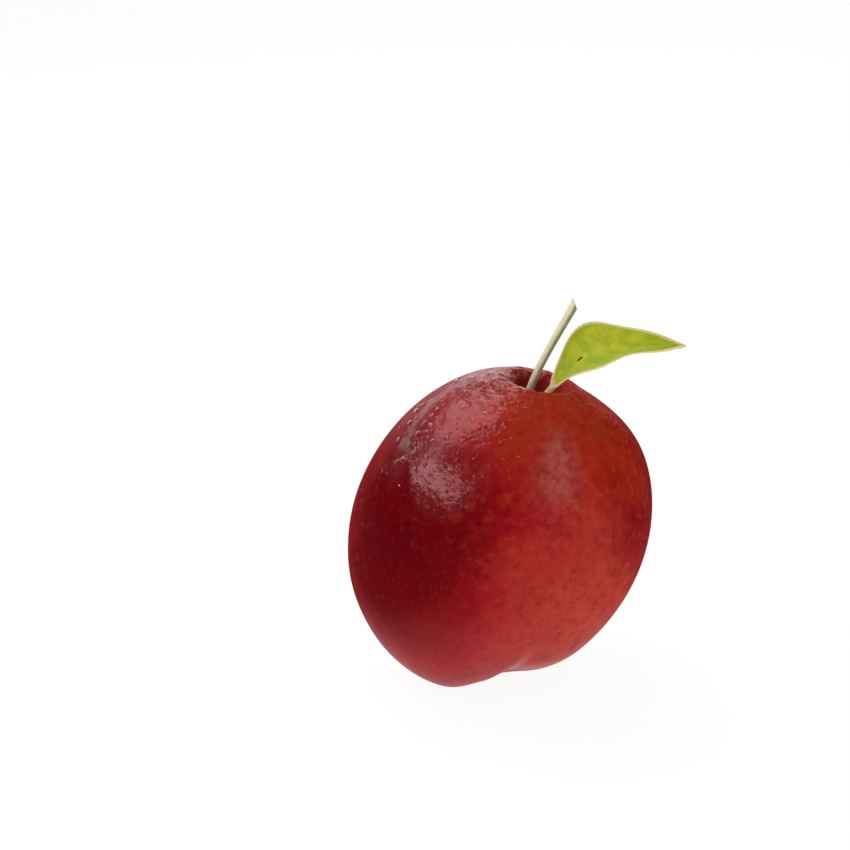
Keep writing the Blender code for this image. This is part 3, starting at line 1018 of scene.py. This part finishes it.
def leaf_blade():
    """Yellow-green blade with paler veins, a thin cream edge and one dark slit of a blemish. Its near
    half has painted shade, and the pale line of its midrib is partly a painted highlight.
    """
    made, nodes, shader = new_material("leaf_green")
    mark = nodes.add("ShaderNodeAttribute", {"attribute_name": "leaf_place"}, {}, "Vector")
    place = nodes.add("ShaderNodeTexCoord", {}, {}, "Object")
    share, across, top = mark.xyz()
    mottle = nodes.noise(place, 520.0, 4.0, 0.6)
    fine = nodes.noise(place, 1500.0, 3.0, 0.6)
    blade = nodes.mix(mottle.ramp(0.38, 0.62), LEAF_YELLOW, LEAF_GREEN)
    blade = nodes.mix(fine.ramp(0.50, 0.75) * 0.35, blade, LEAF_YELLOW)
    blade = nodes.mix(share.ramp(0.45, 0.25) * across.ramp(0.2, 0.9) * 0.2, blade, LEAF_DEEP)
    # The near half of the blade is painted darker, as painted shade that evens out the light its fold
    # catches; the tip is darker as well
    blade = nodes.mix(across.ramp(0.1, -0.5) * 0.5 + share.ramp(0.7, 0.95) * 0.4, blade, LEAF_DEEP)
    gold = (share - GOLD_AT[0]).bell(0.14) * (across - GOLD_AT[1]).bell(0.40)
    blade = nodes.mix(gold * mottle.ramp(0.44, 0.60) * 0.35, blade, LEAF_GOLD)
    away = nodes.math("ABSOLUTE", across)
    start = share - VEIN_SLANT * away**VEIN_CURVE
    far_half = across.ramp(0.001, -0.001)
    stretch = (start - PETIOLE_SHARE) / (1 - PETIOLE_SHARE) * VEIN_PAIRS + VEIN_STAGGER * far_half
    gap = nodes.math("ABSOLUTE", nodes.math("FRACT", stretch + 0.5) - 0.5)
    fading = start.ramp(PETIOLE_SHARE, VEINS_START) * away.ramp(VEINS_FADE[1], VEINS_FADE[0])
    veins = gap.bell(0.10) * fading
    blade = nodes.mix(veins * (0.06 + 0.14 * fine.ramp(0.45, 0.60)), blade, LEAF_PALE)
    # The midrib is paler: partly its own colour, partly a painted highlight along it
    blade = nodes.mix(away.bell(0.035) * 0.20, blade, LEAF_PALE)
    blade = nodes.mix(top.ramp(0.2, -0.2) * 0.6, blade, LEAF_UNDER)
    edge = nodes.add("ShaderNodeAttribute", {"attribute_name": "leaf_edge"}, {}, "Fac")
    blade = nodes.mix((edge + (fine - 0.5) * 0.0001).ramp(0.00052, 0.00036), blade, LEAF_MARGIN)
    blade = nodes.mix(share.ramp(0.17, 0.13), blade, PETIOLE)
    blade = nodes.mix(share.ramp(0.975, 0.995) * 0.7, blade, LEAF_MARGIN)
    spot = (share - SPOT_AT[0]).bell(0.020) * (across - SPOT_AT[1]).bell(0.07)
    blade = nodes.mix(spot * 0.7, blade, LEAF_SPOT)
    slant = across - BLEMISH_AT[1] - (share - BLEMISH_AT[0]) * 0.5
    blemish = slant.bell(0.045) * (share - BLEMISH_AT[0]).bell(0.030)
    blade = nodes.mix(blemish.ramp(0.3, 0.6), blade, BLEMISH)
    height = mottle * 0.4 + fine * 0.3 - veins * 0.2
    bump = nodes.add("ShaderNodeBump", {}, {"Strength": 0.4, "Distance": 0.0001, "Height": height})
    set_shader(
        shader,
        Base_Color=blade,
        Roughness=0.45 + 0.2 * fine,
        Specular_IOR_Level=0.04,
        Normal=bump,
    )
    return made


def clear_water():
    """Clear water, which shows best where its surface turns away."""
    made, nodes, shader = new_material("water_drop")
    slope = nodes.add("ShaderNodeLayerWeight", {}, {"Blend": 0.5}, "Facing")
    set_shader(
        shader,
        Base_Color=(1, 1, 1, 1),
        Roughness=0.14,
        IOR=1.33,
        Transmission_Weight=1.0,
        Alpha=0.45 + 0.45 * slope.ramp(0.25, 0.85),
    )
    return made


FLOOR_TONES = ((0.10, 0.10, 0.10), (0.12, 0.12, 0.12))
FLOOR_GLOW = 0.92
FLOOR_REACH = 3.0


def pale_floor():
    """A plain pale table top, larger than the view."""
    made, nodes, shader = new_material("pale_floor")
    place = nodes.add("ShaderNodeTexCoord", {}, {}, "Object")
    tone = nodes.noise(place, 40.0, 3.0)
    paper = nodes.mix(tone, *FLOOR_TONES)
    set_shader(
        shader,
        Base_Color=paper,
        Roughness=0.9,
        Specular_IOR_Level=0.0,
        Emission_Color=(1, 1, 1, 1),
        Emission_Strength=FLOOR_GLOW,
    )
    bm = bmesh.new()
    bmesh.ops.create_grid(bm, x_segments=1, y_segments=1, size=FLOOR_REACH)
    floor = add_piece("floor", bm, made)


WHITE = (1.0, 1.0, 1.0)
PINK = (1.0, 0.66, 0.68)
AMBIENT = (0.50, 0.50, 0.50)
MIRRORED = (0.06, 0.06, 0.06)


# Soft boxes round the plum: each one's name, direction from the middle of the fruit, distance, size,
# brightness and colour, and whether it shows in the gloss or else lights the surfaces
SOFT_BOXES = (
    ("back_left_box", (-0.42, 0.55, 0.68), 0.45, (0.56, 0.30), 2.4, WHITE, False),
    ("high_left_shine", (-0.40, 0.25, 0.88), 0.45, (0.31, 0.364), 11.0, PINK, True),
    ("front_left_box", (-0.61, -0.36, 0.68), 0.50, (0.16, 0.26), 1.8, WHITE, False),
    ("low_left_shine", (-0.772, -0.262, 0.579), 0.50, (0.46, 0.09), 19.0, PINK, True),
    ("left_glint", (-0.83, 0.44, 0.34), 0.50, (0.16, 0.09), 9.0, WHITE, True),
    ("back_shine", (-0.15, 0.95, 0.25), 0.70, (1.10, 0.36), 3.5, WHITE, True),
    ("right_fill", (0.70, -0.60, 0.45), 0.60, (0.40, 0.40), 1.3, WHITE, False),
)


def soft_box(middle, name, direction, distance, size, radiance, tint, shines):
    """A square-cornered area light that faces the plum. Radiance is how bright it looks.

    One that shines shows only in the gloss, and any other only lights the surfaces. None of them
    shows through the water.
    """
    lamp = bpy.data.lights.new(name, "AREA")
    lamp.shape = "RECTANGLE"
    lamp.size, lamp.size_y = size
    lamp.energy = radiance * math.pi * size[0] * size[1]
    lamp.color = tint
    light = bpy.data.objects.new(name, lamp)
    light.visible_glossy = shines
    light.visible_diffuse = not shines
    light.visible_transmission = False
    bpy.context.scene.collection.objects.link(light)
    away = Vector(direction).normalized()
    light.location = middle + away * distance
    light.rotation_euler = away.to_track_quat("Z", "Y").to_euler()


def light_studio(middle):
    """White surroundings for the eye, grey ones as light, dim ones for the gloss, and soft boxes."""
    world = bpy.data.worlds.new("studio")
    bpy.context.scene.world = world
    world.use_nodes = True
    nodes = Nodes(world.node_tree)
    world.node_tree.nodes.clear()
    seen = nodes.add("ShaderNodeLightPath", {}, {}, "Is Camera Ray")
    mirrored = nodes.add("ShaderNodeLightPath", {}, {}, "Is Glossy Ray")
    refracted = nodes.add("ShaderNodeLightPath", {}, {}, "Is Transmission Ray")
    tone = nodes.mix(mirrored * (1 - refracted), AMBIENT, MIRRORED)
    tone = nodes.mix(seen, tone, WHITE)
    sky = nodes.add("ShaderNodeBackground", {}, {"Color": tone, "Strength": 1.0})
    nodes.add("ShaderNodeOutputWorld", {}, {"Surface": sky}, None)
    for box in SOFT_BOXES:
        soft_box(middle, *box)


def point_camera(middle):
    """Turns the camera so that the plum's middle falls on its pixel."""
    right_off = (PLUM_AT[0] - PICTURE_SIDE / 2) / FOCAL_LENGTH
    down_off = (PLUM_AT[1] - PICTURE_SIDE / 2) / FOCAL_LENGTH
    data = bpy.data.cameras.new("camera")
    data.sensor_width = SENSOR_WIDTH * 1000
    data.lens = LENS * 1000
    camera = bpy.data.objects.new("camera", data)
    bpy.context.scene.collection.objects.link(camera)
    back = Vector((0, -math.cos(CAMERA_RISE), math.sin(CAMERA_RISE)))
    yaw = math.atan(right_off)
    pitch = math.atan(down_off * math.cos(yaw))
    upright = Matrix.Rotation(math.pi / 2 - CAMERA_RISE, 3, "X")
    turned = upright @ Matrix.Rotation(pitch, 3, "X") @ Matrix.Rotation(yaw, 3, "Y")
    camera.rotation_euler = turned.to_euler()
    camera.location = middle + back * CAMERA_DISTANCE
    bpy.context.scene.camera = camera
    return camera


def settle(piece, node=None):
    """Sets a finished piece to ride on the root, and hides the solid that it stands for, if it has
    one.
    """
    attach(piece, "root")
    if node:
        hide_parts(node)


def main():
    bpy.context.scene.view_settings.view_transform = "Standard"
    fruit = grow("fruit_skin", skin_tree(None), SKIN)
    middle = place_fruit(fruit)
    fruit.data.materials.clear()
    fruit.data.materials.append(plum_skin(middle))
    stalk = make_stalk(middle, stalk_bark())
    leaf = make_leaf(middle, leaf_blade())
    water = clear_water()
    dew = grow("dew", dew_tree(middle, water), DEW, surface=fruit)
    camera = point_camera(middle)
    drops = make_large_drops(fruit, camera, water)
    settle(fruit, "fruit")
    settle(stalk, "stalk")
    settle(leaf, "leaf")
    settle(dew)
    settle(drops)
    pale_floor()
    light_studio(middle)


main()
